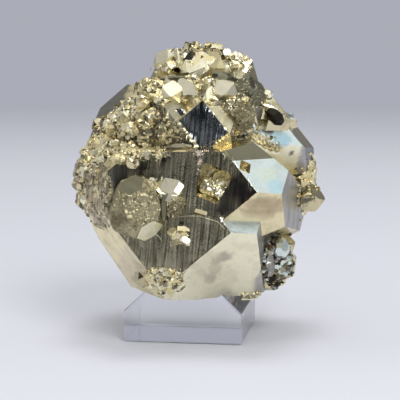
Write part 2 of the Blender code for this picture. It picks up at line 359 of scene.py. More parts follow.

# Patches of painted shade, painted reflection and stain: dark ones where facets lie in shade or reflect the
# dark room, cool or pale ones where they reflect the light, partly tarnish: where each is seen, its reach in
# mm, its turn in degrees, the metal colour that it brings, its share, its change of roughness, the finish
# that it keeps to, if any.
paintedLightAndStains = [
    # dark patches on the striated face: painted shade and dark reflection, partly tarnish
    ((247, 188), (3.4, 3.4), 0, (0.016, 0.013, 0.016), 0.95, 0.10, "striated"),
    ((233, 202), (3.4, 2.6), 25, (0.030, 0.022, 0.024), 0.82, 0.10, "striated"),
    ((214, 210), (2.4, 1.4), 0, (0.05, 0.035, 0.03), 0.5, 0.05, "striated"),
    ((228, 172), (1.2, 1.8), 0, (0.10, 0.07, 0.03), 0.6, 0.05, "striated"),
    ((121, 186), (1.8, 2.4), 20, (0.016, 0.012, 0.012), 0.95, 0.10, "striated"),
    ((131, 168), (2.6, 2.0), 0, (0.045, 0.032, 0.03), 0.8, 0.05, "striated"),
    ((112, 172), (2.0, 2.4), 0, (0.14, 0.15, 0.12), 0.7, 0.05, "striated"),
    ((118, 238), (1.0, 3.4), 35, (0.05, 0.04, 0.025), 0.8, 0.05, "striated"),
    ((165, 228), (2.8, 1.2), 0, (0.26, 0.20, 0.07), 0.6, 0.05, "striated"),
    ((240, 236), (1.4, 2.2), 0, (0.02, 0.02, 0.016), 0.8, 0.05, "striated"),
    ((186, 262), (1.2, 4.5), 0, (0.12, 0.10, 0.06), 0.4, 0.0, "striated"),
    ((181, 236), (1.3, 1.0), 0, (0.02, 0.012, 0.012), 0.95, 0.05, "striated"),
    ((222, 258), (2.1, 1.0), 20, (0.30, 0.29, 0.24), 0.62, 0.08, "cream"),
    ((216, 268), (1.5, 1.6), 0, (0.42, 0.40, 0.33), 0.5, 0.08, "cream"),
    ((210, 278), (1.3, 1.3), 0, (0.50, 0.46, 0.36), 0.5, 0.08, "cream"),
    ((266, 206), (4.6, 1.9), 0, (0.42, 0.31, 0.20), 0.60, 0.06, "tan"),
    ((258, 214), (4.0, 1.0), -8, (0.46, 0.36, 0.22), 0.40, 0.06, "tan"),
    # this and the next two: painted reflection of the cool light
    ((268, 174), (2.0, 1.6), 0, (0.80, 0.84, 0.62), 0.50, 0.0, "icy"),
    ((276, 187), (1.6, 2.0), 0, (0.55, 0.78, 0.84), 0.7, 0.0, "icy"),
    ((281, 139), (2.2, 1.6), 0, (0.42, 0.62, 0.70), 0.8, 0.0, None),
    ((250, 148), (3.4, 0.9), 0, (0.20, 0.17, 0.13), 0.6, 0.05, "tan"),
    ((292, 153), (0.45, 0.4), 0, (0.03, 0.03, 0.02), 0.9, 0.05, None),
    # painted dark reflection on the upper-left facet
    ((102, 112), (8.0, 3.0), 45, (0.13, 0.14, 0.145), 0.9, 0.05, "gold"),
    # painted shade over the lower part of the front face
    ((182, 250), (8.0, 6.0), 0, (0.24, 0.22, 0.15), 0.55, 0.0, "striated"),
    ((308, 158), (3.0, 7.0), 0, (0.22, 0.22, 0.24), 0.85, 0.0, "grey"),
    ((306, 162), (1.9, 6.5), -12, (0.40, 0.40, 0.41), 0.9, 0.0, "cream"),
    ((262, 284), (1.6, 3.0), 0, (0.42, 0.42, 0.42), 0.8, 0.0, "cream"),
    ((205, 262), (3.0, 3.4), 30, (0.80, 0.74, 0.54), 0.5, 0.05, "cream"),
    ((246, 246), (2.6, 0.8), -10, (0.80, 0.72, 0.52), 0.5, 0.04, "cream"),
    ((132, 262), (3.0, 7.0), -30, (0.66, 0.58, 0.42), 0.6, 0.03, "tan"),
]


def copyNode(name):
    bm = bmesh.new()
    bm.from_mesh(frame["nodes"][name].data)
    bmesh.ops.remove_doubles(bm, verts=bm.verts[:], dist=bodyShape["mergeGap"])
    return bm


def searchTree(bm):
    tree = BVHTree.FromBMesh(bm)
    bm.free()
    return tree


plainSurface = searchTree(copyNode("pyrite_cluster"))


# picks a face's finish, painted light and shade included, by its direction and distance
def finishAndLightOf(normal, place):
    distance = normal.dot(place - lattice["middle"]) / mm
    for direction, (near, far), name in latticeFinishesAndLight:
        facing = (axes @ Vector(direction)).normalized()
        if facing.dot(normal) > bodyShape["sameDirection"] and near <= distance <= far:
            return finishAndLightNames.index(name)
    return finishAndLightNames.index("crystal")


def cutAlong(bm, geometry, direction, positions):
    for position in positions:
        cut = bmesh.ops.bisect_plane(
            bm, geom=geometry, dist=1e-8,
            plane_co=lattice["middle"] + direction * position, plane_no=direction)
        geometry = cut["geom"]
    return geometry


def geometryOf(faces):
    edges = {edge for face in faces for edge in face.edges}
    verts = {vert for face in faces for vert in face.verts}
    return list(faces) + list(edges) + list(verts)


def stairLines(chance):
    # where the ridge lines run across a striated face, and how deep each lies
    lines, depths = [], []
    across, depth = -striae["reach"], 0.0
    while across < striae["reach"]:
        across += chance.uniform(*striae["terrace"])
        lines.append(across)
        depths.append(depth)
        riser = chance.uniform(*striae["riser"])
        rise = riser * striae["slope"] * chance.choice((-1, 1))
        if not -striae["deepest"] < depth + rise < 0:
            rise = -rise
        across += riser
        depth += rise
        lines.append(across)
        depths.append(depth)
    return lines, depths


def striate(bm, finishLayer):
    chance = random.Random(striae["seed"])
    wanted = {finishAndLightNames.index("striated"), finishAndLightNames.index("diamond")}
    lines, depths = stairLines(chance)
    rows = []
    up = -striae["reach"]
    while up < striae["reach"]:
        up += striae["rowSpacing"] * chance.uniform(*striae["rowChange"])
        rows.append(up)
    faces = [face for face in bm.faces if face[finishLayer] in wanted]
    geometry = cutAlong(bm, geometryOf(faces), axisRight, lines)
    geometry = cutAlong(bm, geometry, axisUp, rows)
    inward = {}
    (usual, change), (patchWidth, patchHeight) = striae["strength"], striae["patch"]
    for vert in (part for part in geometry if isinstance(part, bmesh.types.BMVert)):
        offset = vert.co - lattice["middle"]
        across, up = offset.dot(axisRight), offset.dot(axisUp)
        after = min(max(bisect_right(lines, across), 1), len(lines) - 1)
        share = (across - lines[after - 1]) / (lines[after] - lines[after - 1])
        depth = depths[after - 1] * (1 - share) + depths[after] * share
        strength = usual + change * noise.noise(Vector((across / patchWidth, up / patchHeight, 3.0)))
        facing = sum((face.normal for face in vert.link_faces if face[finishLayer] in wanted), Vector())
        inward[vert] = facing.normalized() * depth * strength
    for vert, move in inward.items():
        vert.co += move
    return len(lines)


def refine(bm, faces, longest):
    # halves every edge that is too long, round after round
    for _ in range(bodyShape["rounds"]):
        edges = {edge for face in faces for edge in face.edges if edge.calc_length() > longest}
        if not edges:
            return
        made = bmesh.ops.subdivide_edges(bm, edges=list(edges), cuts=1)
        halves = [part for part in made["geom"] if isinstance(part, bmesh.types.BMEdge)]
        changed = {part for part in made["geom"] if isinstance(part, bmesh.types.BMFace)}
        changed |= {face for part in halves for face in part.link_faces}
        cut = bmesh.ops.triangulate(bm, faces=[face for face in changed if len(face.verts) > 3])
        faces = [face for face in changed if face.is_valid] + list(cut["faces"])


# The border of an area: how far it wavers, at which scales, where it fades and over what share.
borderShape = {
    "depth": 1.6,  # the area's reach into the surface over its largest reach along it
    "ignore": 1.3,
    "waver": 0.35,
    "coarse": 700,
    "fine": 2300,
    "ends": 1.15,
    "soft": 0.3,
}


class Area:
    # an oval area of the surface, with a wavy border
    def __init__(self, middle, right, up, reach, turn=0.0):
        spin = math.radians(turn)
        self.inward = up.cross(right)
        self.middle = middle
        self.right = right * math.cos(spin) + up * math.sin(spin)
        self.up = up * math.cos(spin) - right * math.sin(spin)
        self.reach = [part * mm for part in reach]
        self.far = max(self.reach) * borderShape["depth"]

    @classmethod
    def seen(cls, seen, reach, turn=0.0):
        view = cameraHolder.matrix_world.to_3x3()
        return cls(seenAt(plainSurface, *seen)[0], view.col[0], view.col[1], reach, turn)

    @classmethod
    def struck(cls, start, direction, reach, turn=0.0):
        direction = Vector(direction).normalized()
        landed = plainSurface.ray_cast(Vector(start) * mm, direction)[0]
        right = direction.orthogonal().normalized()
        return cls(landed, right, right.cross(direction), reach, turn)

    def share(self, place):
        if self.middle is None:
            return 0.0
        offset = place - self.middle
        if offset.length > self.far * borderShape["ignore"]:
            return 0.0
        across, up = offset.dot(self.right) / self.reach[0], offset.dot(self.up) / self.reach[1]
        depth = offset.dot(self.right.cross(self.up)) / self.far
        out = math.sqrt(across * across + up * up + depth * depth)
        waver = borderShape["waver"]
        out += waver * noise.noise(place * borderShape["coarse"])
        out += waver / 2 * noise.noise(place * borderShape["fine"])
        return min(max((borderShape["ends"] - out) / borderShape["soft"], 0.0), 1.0)


octants = [Vector((x, y, 1)).normalized() for x in (-1, 1) for y in (-1, 1)]


def grownAt(place, normal, width):
    # how high a crystal of the crust stands over this place, and which one it is
    best, chosen = 0.0, None
    for point in noise.voronoi(place / width)[1]:
        lot = noise.cell_vector(point * grownShape["lots"][0])
        low, high = grownShape["size"]
        half = width * (low + (high - low) * lot.x)
        if lot.y < grownShape["aligned"]:
            tip, twist = grownShape["lean"]
            turn = axes @ Matrix.Rotation(tip * (lot.z - 0.5), 3, "X") @ Matrix.Rotation(
                twist * (lot.x - 0.5), 3, "Z")
        else:
            turn = Matrix.Rotation(6.3 * lot.z, 3, "X") @ Matrix.Rotation(15.1 * lot.x, 3, "Y")
        back = turn.transposed()
        offset, facing = back @ (place - point * width), back @ normal
        slabs = [(offset[axis], facing[axis], half) for axis in range(3)]
        slabs += [(octant.dot(offset), octant.dot(facing), half * math.sqrt(3) * grownShape["cut"])
                  for octant in octants]
        top, bottom = 10.0, -10.0
        for along, slope, reach in slabs:
            slope = slope if abs(slope) > 1e-4 else 1e-4
            ends = ((reach - along) / slope, (-reach - along) / slope)
            top, bottom = min(top, max(ends)), max(bottom, min(ends))
        if top > bottom and top > best:
            best, chosen = top, point
    return min(best, width * grownShape["tallest"]), chosen


def markVerts(bm):
    # which patches of painted light, shade and stain reach which vertex, and how much
    marks = [(Area.seen(seen, reach, turn), Vector(colour), share, dull, kept)
             for seen, reach, turn, colour, share, dull, kept in paintedLightAndStains]
    marked = {}
    for vert in bm.verts:
        found = [(colour, share * area.share(vert.co), dull, kept)
                 for area, colour, share, dull, kept in marks]
        found = [mark for mark in found if mark[1] > 0]
        if found:
            marked[vert] = found
    return marked


def paintLayers(bm):
    layers = bm.loops.layers.float_color
    return [layers.get(name) or layers.new(name) for name in ("tint", "surface")]


def paintLoops(bm, faces, colour, finish):
    tint, surface = paintLayers(bm)
    for face in faces:
        for loop in face.loops:
            loop[tint] = (*colour, 1)
            loop[surface] = (finish["polish"], finish["tarnish"], finish["streaks"], 1)


def finishPiece(name, bm, smooth=True):
    piece = newObject(name, bm)
    if smooth:
        piece.data.shade_smooth()
        piece.data.set_sharp_from_angle(angle=math.radians(bodyShape["sharpAngle"]))
    piece.data.materials.append(pyritePaint)
    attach(piece, "root")
    return piece


def growBody():
    bm = copyNode("pyrite_cluster")
    bmesh.ops.dissolve_limit(
        bm, angle_limit=math.radians(bodyShape["flatAngle"]), verts=bm.verts[:], edges=bm.edges[:])
    finishLayer = bm.faces.layers.int.new("finishIndex")
    for face in bm.faces:
        face[finishLayer] = finishAndLightOf(face.normal, face.calc_center_median())
    lineCount = striate(bm, finishLayer)
    bmesh.ops.triangulate(bm, faces=bm.faces[:])
    streaked = {finishAndLightNames.index("striated"), finishAndLightNames.index("diamond")}
    refine(bm, [face for face in bm.faces if face[finishLayer] not in streaked], bodyShape["longest"])
    bm.normal_update()
    moves = {}
    for vert in bm.verts:
        height = bodyShape["relief"] * noise.noise(vert.co * bodyShape["reliefScale"])
        height -= grownShape["under"] * max(area.share(vert.co) for area, _, _, _ in crustAreas)
        moves[vert] = vert.normal * height
    marked = markVerts(bm)
    for vert, move in moves.items():
        vert.co += move
    tint, surface = paintLayers(bm)
    for face in bm.faces:
        name = finishAndLightNames[face[finishLayer]]
        own = finishesAndPaintedLight[name]
        for loop in face.loops:
            colour, polish = Vector(own["colour"]), own["polish"]
            # lay the painted shade, painted reflections and stains over the finish colour
            for markColour, share, dull, kept in marked.get(loop.vert, ()):
                if kept in (None, name):
                    colour = colour.lerp(markColour, share)
                    polish += dull * share
            loop[tint] = (*colour, 1)
            loop[surface] = (polish, own["tarnish"], own["streaks"], 1)
    bm.faces.layers.int.remove(finishLayer)
    body = finishPiece("pyriteBody", bm)
    print(f"body: {len(body.data.polygons)} faces, {lineCount} ridge lines")
    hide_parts("pyrite_cluster")


def growSheet(name, areas):
    # a skin of small crystals over some areas, its border sunk into the body
    bm = bmesh.new()
    grown = {}
    for area, width, rise, mix in areas:
        step = width * grownShape["fineness"]
        reach = [part * grownShape["margin"] for part in area.reach]
        counts = [int(2 * part / step) for part in reach]
        grid = bmesh.ops.create_grid(bm, x_segments=counts[0], y_segments=counts[1], size=1)
        for vert in grid["verts"]:
            start = area.middle + area.right * vert.co.x * reach[0] + area.up * vert.co.y * reach[1]
            landed, normal, _, _ = plainSurface.ray_cast(start - area.inward * grownShape["far"], area.inward)
            share = area.share(landed) if landed else 0.0
            if not share:
                continue
            top, point = grownAt(landed, normal, width)
            lift = share * rise * (top - grownShape["sunk"] * width) - (1 - share) * grownShape["border"]
            vert.co = landed + normal * lift
            grown[vert] = (min(top / (width * grownShape["shadeFreeHeight"]), 1.0), point, mix)
        bmesh.ops.delete(bm, geom=[vert for vert in grid["verts"] if vert not in grown], context="VERTS")
        torn = [face for face in bm.faces
                if max(edge.calc_length() for edge in face.edges) > width * grownShape["tear"]]
        bmesh.ops.delete(bm, geom=torn, context="FACES")
    bmesh.ops.triangulate(bm, faces=bm.faces[:])
    tint, surface = paintLayers(bm)
    for face in bm.faces:
        _, point, mix = max((grown[vert] for vert in face.verts), key=lambda found: found[0])
        lot = noise.cell(point * grownShape["lots"][1]) if point is not None else 0.5
        own = finishesAndPaintedLight[mix[min(int(lot * len(mix)), len(mix) - 1)]]
        for loop in face.loops:
            # painted shade: the lower a point lies between the crust's crystals, the darker its colour
            tone = grownShape["hollowPaintedShade"] + (1 - grownShape["hollowPaintedShade"]) * grown[loop.vert][0]
            colour = Vector(own["colour"]) * tone
            loop[tint] = (*colour, 1)
            loop[surface] = (own["polish"] + grownShape["dull"], own["tarnish"], own["streaks"], 1)
    made = finishPiece(name, bm)
    print(f"{name}: {len(made.data.polygons)} faces")


# Scales are per metre, across, across and along the striations.
faceLook = {
    "lineScale": (3000.0, 3000.0, 110.0),
    "bandScale": (800.0, 800.0, 60.0),
    "blotchScale": 260.0,
    "speckScale": 1900.0,
    "grainScale": 700.0,
    "tarnishColour": (0.13, 0.11, 0.06, 1),
    "lineColour": (0.045, 0.045, 0.035, 1),
    "bumpHeight": 0.00006,
}


def facePaint():
    paint = Paint(bpy.data.materials.new("pyriteFaces"))
    place = paint.node("ShaderNodeTexCoord", out="Object")
    turned = paint.node("ShaderNodeMapping", {"vector_type": "POINT"}, {
        "Vector": place, "Rotation": axes.inverted().to_euler()})
    stretched = paint.node("ShaderNodeVectorMath", {"operation": "MULTIPLY"}, {
        0: turned, 1: faceLook["lineScale"]})
    banded = paint.node("ShaderNodeVectorMath", {"operation": "MULTIPLY"}, {
        0: turned, 1: faceLook["bandScale"]})
    tint = paint.node("ShaderNodeAttribute", {"attribute_name": "tint"}, out="Color")
    surface = paint.node("ShaderNodeAttribute", {"attribute_name": "surface"}, out="Color")
    split = paint.node("ShaderNodeSeparateColor", None, {"Color": surface})
    polish = Flow(paint.tree, split.socket.node.outputs["Red"])
    tarnish = Flow(paint.tree, split.socket.node.outputs["Green"])
    streaks = Flow(paint.tree, split.socket.node.outputs["Blue"])
    lines = paint.noise(stretched, 1.0, 2.0)
    bands = paint.noise(banded, 1.0, 2.0)
    blotches = paint.noise(place, faceLook["blotchScale"], 5.0, 0.62)
    specks = paint.noise(place, faceLook["speckScale"], 3.0, 0.6)
    stain = paint.ease(blotches, 0.46, 0.68) * tarnish
    speckStain = paint.ease(specks, 0.60, 0.74) * tarnish
    # darker along fine lines that follow the striations
    streakDarkening = paint.ease(lines, 0.40, 0.60) * streaks * (0.35 + paint.ease(bands, 0.35, 0.65) * 0.65)
    dark = paint.blend(stain * 0.7 + speckStain * 0.8, tint, faceLook["tarnishColour"])
    colour = paint.blend(streakDarkening * 0.8, dark, faceLook["lineColour"])
    rough = polish + (blotches - 0.5) * 0.35 + stain * 0.15
    grain = paint.noise(place, faceLook["grainScale"], 4.0, 0.6)
    height = specks * 0.6 + grain + lines * streaks * 1.6
    bump = paint.node("ShaderNodeBump", None, {
        "Height": height, "Strength": 0.4, "Distance": faceLook["bumpHeight"]}, "Normal")
    shader = paint.node("ShaderNodeBsdfPrincipled", None, {
        "Base Color": colour, "Metallic": 1.0, "Roughness": rough, "Normal": bump}, "BSDF")
    return paint.finish(shader)


frontAreas = [(Area.seen(seen, reach, turn), width * mm, rise, mix)
              for seen, reach, turn, width, rise, mix in grownAreas]
backAreas = [(Area.struck(start, direction, reach, turn), width * mm, rise, goldMix)
             for start, direction, reach, turn, width, rise in hiddenAreas]
crustAreas = frontAreas + backAreas
pyritePaint = facePaint()
growBody()
growSheet("crustSheetFront", frontAreas)
growSheet("crustSheetBack", backAreas)


# Crystals that stand on the large faces: where each is seen, its half sizes across, deep and up in mm,
# how deep its middle lies, its turn in degrees, how far its corners and edges are cut back, its finish.
# A rough one also has how deep in mm and how fine its roughness is.
standingCrystals = {
    "ovalCrystal": ((139, 208), (5.1, 3.2, 5.6), 2.3, (6, 12, 22), (0.62, 0.80), "oval", 0.26, 520.0),
    "leafCrystal": ((171, 187), (2.5, 1.2, 3.3), 0.5, (34, -10, 24), (0.64, 0.80), "cream"),
    "leafFoot": ((174, 207), (1.9, 1.4, 2.3), 0.5, (-20, -24, 24), (0.66, 0.84), "pitted", 0.30, 1100.0),
    "leafGap": ((164, 207), (0.6, 0.7, 2.5), 0.2, (0, 0, 0), (0.70, 0.86), "moss"),
    "studCrystal": ((185, 241), (1.1, 0.8, 0.7), 0.2, (24, 18, 35), (0.70, 0.86), "cream"),
    "studSide": ((173, 232), (0.9, 0.7, 0.9), 0.2, (34, -18, 15), (0.70, 0.86), "gold"),
    "studTop": ((183, 230), (1.2, 0.6, 0.5), 0.3, (36, 8, 5), (0.90, 0.98), "tan"),
    "studFoot": ((176, 243), (1.1, 0.6, 0.5), 0.3, (24, -8, -12), (0.90, 0.98), "tan"),
    "wedgeCrystal": ((201, 213), (1.2, 0.5, 0.40), 0.2, (36, -6, 18), (0.94, 0.99), "tan"),
    "lensCrystal": ((119, 159), (1.4, 0.9, 0.8), 0.2, (40, -8, 8), (0.66, 0.82), "gold", 0.10, 1500.0),
    "broadLens": ((179, 148), (2.5, 0.9, 0.8), 0.2, (36, -4, -3), (0.62, 0.78), "olive"),
    # sparkCrystal and pitFirst take the bright finish: painted glints
    "sparkCrystal": ((152, 181), (0.7, 0.6, 0.6), 0.1, (40, -4, -3), (0.66, 0.82), "bright"),
    "pitFirst": ((211, 187), (1.9, 1.2, 1.6), -2.1, (40, 14, 28), (0.70, 0.90), "bright", 0.14, 1300.0),
    "pitSecond": ((223, 180), (1.7, 1.2, 1.6), -1.8, (38, -14, 12), (0.70, 0.90), "cream", 0.14, 1300.0),
    "pitThird": ((219, 193), (1.5, 1.0, 1.1), -1.9, (24, -4, 42), (0.70, 0.90), "cream", 0.10, 1300.0),
    "rowFirst": ((158, 95), (1.9, 2.0, 2.3), 0.7, (36, 14, 25), (0.84, 0.95), "gold", 0.10, 1300.0),
    "rowSecond": ((171, 94), (1.9, 1.8, 2.0), 0.5, (38, 10, 12), (0.70, 0.99), "cream"),
    "rowThird": ((186, 92), (2.0, 1.8, 2.3), 0.5, (36, -22, -30), (0.70, 0.99), "cream"),
    "rowFourth": ((211, 99), (1.5, 1.8, 3.1), 0.5, (34, 20, 30), (0.72, 0.99), "cream"),
    "rowFifth": ((224, 93), (2.5, 1.8, 2.0), 0.6, (38, -20, -26), (0.70, 0.98), "cream"),
    "rowGap": ((201, 93), (1.0, 1.2, 1.6), 0.3, (10, -10, 10), (0.74, 0.90), "olive", 0.2, 1500.0),
    "roundCrystal": ((237, 113), (3.4, 2.6, 3.5), 1.3, (10, 26, 24), (0.58, 0.76), "round", 0.34, 900.0),
    "darkFirst": ((222, 79), (2.2, 1.6, 1.4), 0.3, (8, 10, 20), (0.60, 0.78), "moss"),
    "darkSecond": ((240, 86), (2.6, 2.0, 2.6), 0.5, (4, 14, 30), (0.60, 0.78), "moss", 0.08, 1300.0),
    "darkThird": ((253, 96), (2.4, 2.0, 3.0), 0.6, (-4, 30, -24), (0.60, 0.78), "moss", 0.10, 1300.0),
    # painted shade: a dark band on the shadowed ledge above the row of crystals
    "paintedShadeBand": ((178, 80), (3.6, 1.2, 0.8), 0.2, (4, 0, 0), (0.60, 0.78), "moss"),
    # painted glint
    "edgeGrain": ((268, 95), (0.9, 0.9, 0.9), 0.0, (38, -10, 14), (0.66, 0.82), "bright"),
    "limbBead": ((290, 117), (0.8, 0.8, 0.8), 0.0, (20, -10, 14), (0.58, 0.74), "icy"),
    "knobMiddle": ((197, 67), (2.4, 1.6, 3.0), 1.0, (38, -12, 24), (0.70, 0.98), "cream"),
    "knobFlame": ((182, 64), (1.2, 1.2, 2.8), 0.4, (34, 20, -18), (0.68, 0.99), "cream"),
    "knobShade": ((189, 61), (0.8, 1.0, 2.0), 0.6, (10, -16, 20), (0.70, 0.99), "moss"),
    "knobLeft": ((164, 60), (1.5, 1.4, 1.9), 0.6, (32, -20, 24), (0.70, 0.98), "cream"),
    "knobRight": ((214, 64), (1.8, 1.4, 2.4), 0.7, (34, -20, -30), (0.70, 0.98), "gold"),
    # a lens painted near black, a painted dark reflection, and a painted highlight along its rim
    "eyeCrystal": ((275, 117), (2.0, 1.2, 1.3), 0.3, (-4, 22, 38), (0.58, 0.74), "black"),
    "eyeRim": ((268, 108), (2.2, 0.7, 0.5), 0.1, (44, -6, 22), (0.62, 0.78), "bright"),
    # painted highlights on the left limb
    "limbHigh": ((84, 170), (0.9, 0.9, 1.5), 0.2, (38, -20, 10), (0.62, 0.8), "bright"),
    "limbLow": ((85, 200), (1.1, 0.9, 0.9), 0.2, (38, -16, 40), (0.62, 0.8), "bright"),
    "chromeHigh": ((281, 248), (1.5, 1.5, 1.9), 0.3, (20, 28, 14), (0.60, 0.78), "icy"),
    "chromeLow": ((268, 263), (1.2, 1.5, 2.6), 0.3, (6, 14, 4), (0.64, 0.84), "grey", 0.1, 900.0),
}
# Crystals whose sides are painted lighter or darker by the way they face, painted light and shade: a
# direction as seen (right, up, toward), how near to it a face must lie (a cosine), the side's finish, and
# whether it is rough. The last line is for the rest.
sidePaintedLight = {
    "oval": [
        ((0.1, 0.8, 0.55), 0.90, "moss", False), ((-0.85, -0.1, 0.5), 0.93, "grey", False),
        ((0.2, -0.85, 0.4), 0.88, "cream", False), ((0, 0, 0), -1.0, "pitted", True)],
    "round": [
        ((0.0, 0.7, 0.7), 0.80, "olive", True), ((-0.3, -0.7, 0.6), 0.85, "gold", True),
        ((0, 0, 0), -1.0, "pitted", True)],
}
crystalMesh = {
    "longest": 0.34 * mm,
    "octaves": 3,
    "sunk": 0.7,  # the height of the roughness that leaves the face where it is
}


def cutCrystal(corner, edge):
    # a cube of half size 1 cut back at its corners and edges
    bm = bmesh.new()
    bmesh.ops.create_cube(bm, size=2)
    signs = (-1, 0, 1)
    for direction in (Vector((x, y, z)) for x in signs for y in signs for z in signs):
        axesUsed = sum(abs(part) for part in direction)
        if axesUsed < 2:
            continue
        reach = corner if axesUsed == 3 else edge
        normal = direction.normalized()
        cut = bmesh.ops.bisect_plane(
            bm, geom=bm.verts[:] + bm.edges[:] + bm.faces[:],
            plane_co=normal * reach * direction.length, plane_no=normal, clear_outer=True)
        rim = [part for part in cut["geom_cut"] if isinstance(part, bmesh.types.BMEdge)]
        if rim:
            bmesh.ops.edgeloop_fill(bm, edges=rim)
    bmesh.ops.recalc_face_normals(bm, faces=bm.faces[:])
    return bm


# which painted light or shade a crystal's face takes, by the way it faces as seen
def paintedSideOf(normal, finishName):
    seen = cameraHolder.matrix_world.to_3x3().transposed() @ normal
    for toward, near, name, isRough in sidePaintedLight[finishName]:
        if seen.dot(Vector(toward).normalized()) >= near:
            return name, isRough
    return sidePaintedLight[finishName][-1][2:]


def standCrystal(name, spec):
    seen, halves, sink, turn, (corner, edge), finishName, *rough = spec
    depth, fineness = rough or (0.0, 0.0)
    landed, _ = seenAt(plainSurface, *seen)
    if landed is None:
        print(f"{name} misses the specimen")
        return
    into = (landed - cameraHolder.location).normalized()
    bm = cutCrystal(corner, edge)
    bmesh.ops.scale(bm, verts=bm.verts[:], vec=Vector(halves) * mm)
    turned = Matrix.Rotation(math.radians(turn[1]), 3, "Z") @ Matrix.Rotation(
        -math.radians(turn[0]), 3, "X") @ Matrix.Rotation(math.radians(turn[2]), 3, "Y")
    bmesh.ops.rotate(bm, verts=bm.verts[:], matrix=turned)
    bmesh.ops.translate(bm, verts=bm.verts[:], vec=landed + into * sink * mm)
    bmesh.ops.recalc_face_normals(bm, faces=bm.faces[:])
    bm.normal_update()
    sideLayer = bm.faces.layers.int.new("side")
    for face in bm.faces:
        side, isRough = paintedSideOf(face.normal, finishName) if finishName in sidePaintedLight else (
            finishName, bool(depth))
        face[sideLayer] = finishAndLightNames.index(side) * 2 + int(isRough)
    bmesh.ops.triangulate(bm, faces=bm.faces[:])
    refine(bm, bm.faces[:], crystalMesh["longest"] * (1 if depth else 2))
    bm.normal_update()
    moves = {}
    for vert in bm.verts:
        height = bodyShape["relief"] * noise.noise(vert.co * bodyShape["reliefScale"])
        if depth and all(face[sideLayer] % 2 for face in vert.link_faces):
            height += depth * mm * (noise.turbulence(
                vert.co * fineness, crystalMesh["octaves"], True, noise_basis="VORONOI_F2F1")
                - crystalMesh["sunk"])
        moves[vert] = vert.normal * height
    for vert, move in moves.items():
        vert.co += move
    for face in bm.faces:
        finish = finishesAndPaintedLight[finishAndLightNames[face[sideLayer] // 2]]
        paintLoops(bm, [face], finish["colour"], finish)
    bm.faces.layers.int.remove(sideLayer)
    finishPiece(name, bm)


for name, spec in standingCrystals.items():
    standCrystal(name, spec)
print(f"{len(standingCrystals)} standing crystals")


# Thin bright edges and broken ledges: the points where each is seen, its thickness in mm, its finish.
ridgeLines = [
    ([(171, 125), (177, 119), (182, 117), (186, 114), (196, 105)], 0.05, "tan"),
    ([(204, 147), (210, 143), (216, 140), (228, 137), (242, 133)], 0.055, "gold"),
    ([(216, 141), (222, 148), (229, 156)], 0.05, "gold"),
    ([(113, 227), (119, 238), (125, 248), (134, 260), (142, 269), (150, 284)], 0.055, "cream"),
    ([(108, 228), (116, 244), (124, 258), (134, 272)], 0.05, "cream"),
    ([(178, 217), (188, 216), (199, 216), (209, 219), (218, 222), (226, 230)], 0.05, "tan"),
    ([(155, 233), (158, 236), (161, 239), (162, 243)], 0.05, "cream"),
    ([(223, 222), (233, 213), (243, 204), (256, 195)], 0.045, "gold"),
    ([(178, 280), (190, 266), (205, 253), (222, 238)], 0.05, "brown"),
    ([(232, 157), (238, 168), (246, 178), (258, 192)], 0.055, "cream"),
]
ridgeShape = {
    "step": 1.0,  # in points of the 400-wide frame
    "sides": 5,
    "overlap": 1.3,
    "widestGap": 1.2 * mm,
}


def layRidges():
    bm = bmesh.new()
    for points, thickness, finishName in ridgeLines:
        places = []
        for (fromX, fromY), (toX, toY) in zip(points, points[1:]):
            count = max(int(math.hypot(toX - fromX, toY - fromY) / ridgeShape["step"]), 1)
            for index in range(count):
                share = index / count
                landed, _ = seenAt(
                    plainSurface, fromX + (toX - fromX) * share, fromY + (toY - fromY) * share)
                if landed is not None:
                    places.append(landed)
        for first, second in zip(places, places[1:]):
            along = second - first
            if along.length > ridgeShape["widestGap"] or not along.length:
                continue
            rod = bmesh.ops.create_cone(
                bm, cap_ends=True, segments=ridgeShape["sides"], radius1=thickness * mm,
                radius2=thickness * mm, depth=along.length * ridgeShape["overlap"])
            bmesh.ops.rotate(bm, verts=rod["verts"], matrix=along.to_track_quat("Z", "Y").to_matrix())
            bmesh.ops.translate(bm, verts=rod["verts"], vec=(first + second) / 2)
            faces = {face for vert in rod["verts"] for face in vert.link_faces}
            paintLoops(bm, faces, finishesAndPaintedLight[finishName]["colour"], finishesAndPaintedLight[finishName])
    made = finishPiece("ridges", bm, smooth=False)
    print(f"ridges: {len(made.data.polygons)} faces")


layRidges()


# Loose-lying grains on the crusts.
crustGrains = {
    "cut": 0.34,
    "flat": (0.55, 1.25),
    "turn": 16.0,  # how far a grain leans from the lattice
    "leaning": 0.55,  # the share of grains that follow the lattice
    "smaller": 1.7,  # above 1, small grains are commoner
    "strayed": 2.2,  # spreads from the middle past which a grain is left out
    "shade": (0.8, 1.1),
}
# metal colours and how common each is
grainTones = [
    ((0.93, 0.87, 0.64), 0.34), ((0.78, 0.68, 0.40), 0.34), ((0.56, 0.47, 0.26), 0.18),
    ((0.20, 0.16, 0.08), 0.14)]
# painted highlights: pale pinkish-white grain colours
rosyHighlightTones = [((0.98, 0.80, 0.66), 0.7), ((0.98, 0.92, 0.84), 0.3)]

